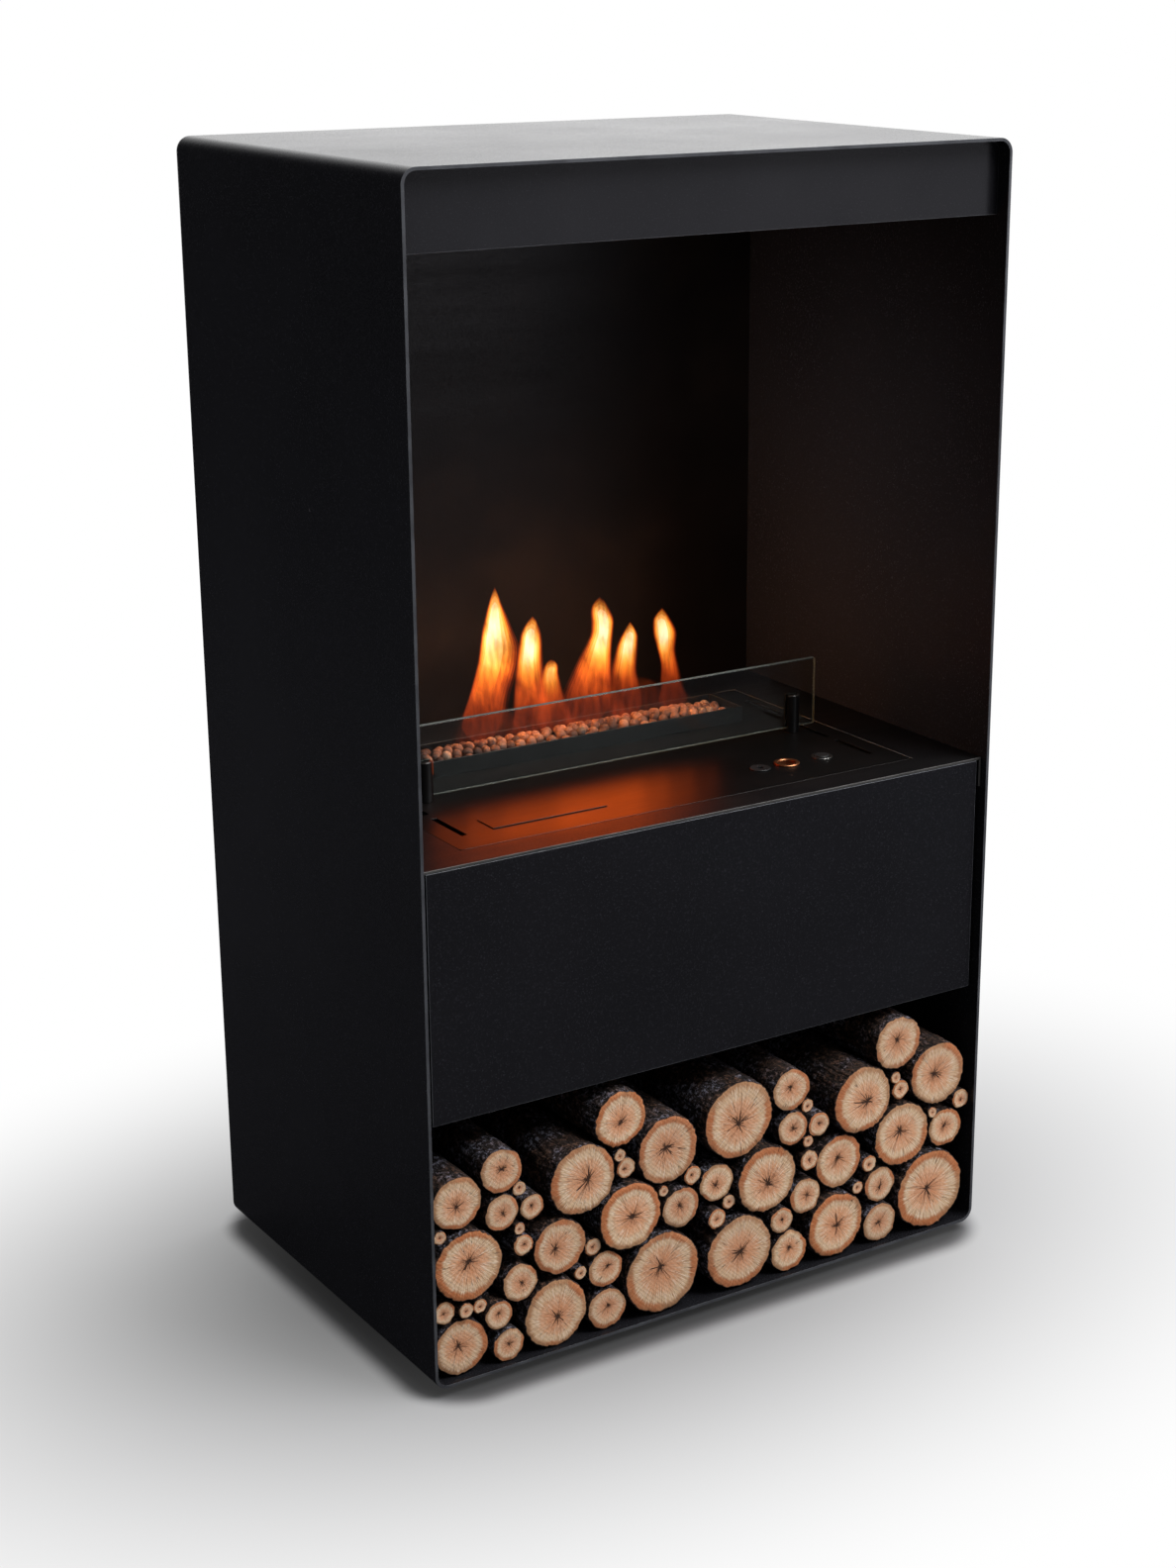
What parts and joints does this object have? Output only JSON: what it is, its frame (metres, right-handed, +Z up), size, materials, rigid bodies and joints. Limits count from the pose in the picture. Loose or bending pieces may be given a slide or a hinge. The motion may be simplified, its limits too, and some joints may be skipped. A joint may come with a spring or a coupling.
{
  "type": "bioethanol fireplace",
  "caption": "Free-standing bioethanol fireplace: wrapped steel cabinet with an open firebox, a lift-out automatic burner behind a glass screen, and a niche for firewood below.",
  "frame": {"origin": "on the ground under the middle of the cabinet", "axes": "+Z up, -Y out of the open front, +X to the right seen from the front"},
  "size_m": [0.64, 0.44, 1.115],
  "materials": {
    "powder_coat": "fine-textured black powder coat",
    "fire_paint": "matt heat-proof black paint",
    "dark_steel": "satin black-brown coated steel",
    "zinc_steel": "zinc-plated sheet",
    "bare_steel": "bare stainless steel",
    "brass": "turned brass",
    "copper": "drawn copper tube",
    "glass": "clear toughened glass with polished edges",
    "pebble_ceramic": "unglazed ceramic pebbles",
    "rubber": "moulded rubber",
    "black_plastic": "moulded black plastic",
    "circuit_board": "green solder resist",
    "firewood": "sawn end grain and rough bark",
    "flame": "flame, in the visual model only"
  },
  "bodies": {
    "cabinet": {"casing": "powder_coat", "back_panel": "powder_coat", "cable_grommet": "rubber", "canopy_fascia": "powder_coat", "canopy_baffle": "fire_paint", "firebox_liner": "fire_paint", "burner_deck": "fire_paint", "burner_ledge": "zinc_steel", "front_panel": "powder_coat", "niche_ceiling": "powder_coat", "foot_rail_left": "powder_coat", "foot_rail_right": "powder_coat", "firewood_log_01": "firewood", "firewood_log_02": "firewood", "firewood_log_03": "firewood", "firewood_log_04": "firewood", "firewood_log_05": "firewood", "firewood_log_06": "firewood", "firewood_log_07": "firewood", "firewood_log_08": "firewood", "firewood_log_09": "firewood", "firewood_log_10": "firewood", "firewood_log_11": "firewood"},
    "burner": {"burner_plate": "dark_steel", "burner_housing": "zinc_steel", "burner_tray": "dark_steel", "pebble_bed": "pebble_ceramic", "vaporiser": "bare_steel", "igniter": "bare_steel", "flame_sensor": "bare_steel", "fuel_tank": "bare_steel", "filler_neck": "brass", "valve_spring": "bare_steel", "fuel_pump": "zinc_steel", "feed_hose": "rubber", "delivery_pipe": "copper", "level_stem": "bare_steel", "control_board": "circuit_board", "fan_frame": "black_plastic", "button_bezel": "bare_steel", "button_switch": "black_plastic", "pump_jack": "black_plastic", "label_plate": "dark_steel", "glass_post_left": "dark_steel", "glass_post_right": "dark_steel", "power_inlet": "black_plastic"},
    "glass": {"glass_pane": "glass"},
    "button": {"power_button": "black_plastic"},
    "valve": {"filler_valve": "brass"},
    "float": {"level_float": "black_plastic"},
    "rotor": {"fan_rotor": "black_plastic"},
    "foot_fl": {"foot_front_left": "rubber"},
    "foot_fr": {"foot_front_right": "rubber"},
    "foot_rl": {"foot_rear_left": "rubber"},
    "foot_rr": {"foot_rear_right": "rubber"},
    "top_log_a": {"firewood_log_12": "firewood"},
    "top_log_b": {"firewood_log_13": "firewood"},
    "top_log_c": {"firewood_log_14": "firewood"},
    "top_log_d": {"firewood_log_15": "firewood"},
    "top_log_e": {"firewood_log_16": "firewood"}
  },
  "joints": [
    {"name": "burner_lift", "type": "slide", "parent": "cabinet", "child": "burner", "axis": [0, 0, 1], "range_m": [0, 0.25]},
    {"name": "glass_lift", "type": "slide", "parent": "burner", "child": "glass", "axis": [0, 0, 1], "range_m": [0, 0.1]},
    {"name": "button_press", "type": "slide", "parent": "burner", "child": "button", "axis": [0, 0, -1], "range_m": [0, 0.0015], "stiffness_N_per_m": 400, "springref_m": -0.003},
    {"name": "valve_push", "type": "slide", "parent": "burner", "child": "valve", "axis": [0, 0, -1], "range_m": [0, 0.008], "stiffness_N_per_m": 150, "springref_m": -0.004, "deforming": ["valve_spring"]},
    {"name": "float_rise", "type": "slide", "parent": "burner", "child": "float", "axis": [0, 0, 1], "range_m": [0, 0.05]},
    {"name": "fan_spin", "type": "hinge", "parent": "burner", "child": "rotor", "pos_m": [-0.2055, -0.12225, 0.345], "axis": [0, 0, 1], "continuous": true},
    {"name": "foot_fl_set", "type": "slide", "parent": "cabinet", "child": "foot_fl", "axis": [0, 0, -1], "range_m": [0, 0.005]},
    {"name": "foot_fr_set", "type": "slide", "parent": "cabinet", "child": "foot_fr", "axis": [0, 0, -1], "range_m": [0, 0.005]},
    {"name": "foot_rl_set", "type": "slide", "parent": "cabinet", "child": "foot_rl", "axis": [0, 0, -1], "range_m": [0, 0.005]},
    {"name": "foot_rr_set", "type": "slide", "parent": "cabinet", "child": "foot_rr", "axis": [0, 0, -1], "range_m": [0, 0.005]},
    {"name": "log_a_draw", "type": "slide", "parent": "cabinet", "child": "top_log_a", "axis": [0, -1, 0], "range_m": [0, 0.34]},
    {"name": "log_b_draw", "type": "slide", "parent": "cabinet", "child": "top_log_b", "axis": [0, -1, 0], "range_m": [0, 0.34]},
    {"name": "log_c_draw", "type": "slide", "parent": "cabinet", "child": "top_log_c", "axis": [0, -1, 0], "range_m": [0, 0.34]},
    {"name": "log_d_draw", "type": "slide", "parent": "cabinet", "child": "top_log_d", "axis": [0, -1, 0], "range_m": [0, 0.34]},
    {"name": "log_e_draw", "type": "slide", "parent": "cabinet", "child": "top_log_e", "axis": [0, -1, 0], "range_m": [0, 0.34]}
  ]
}
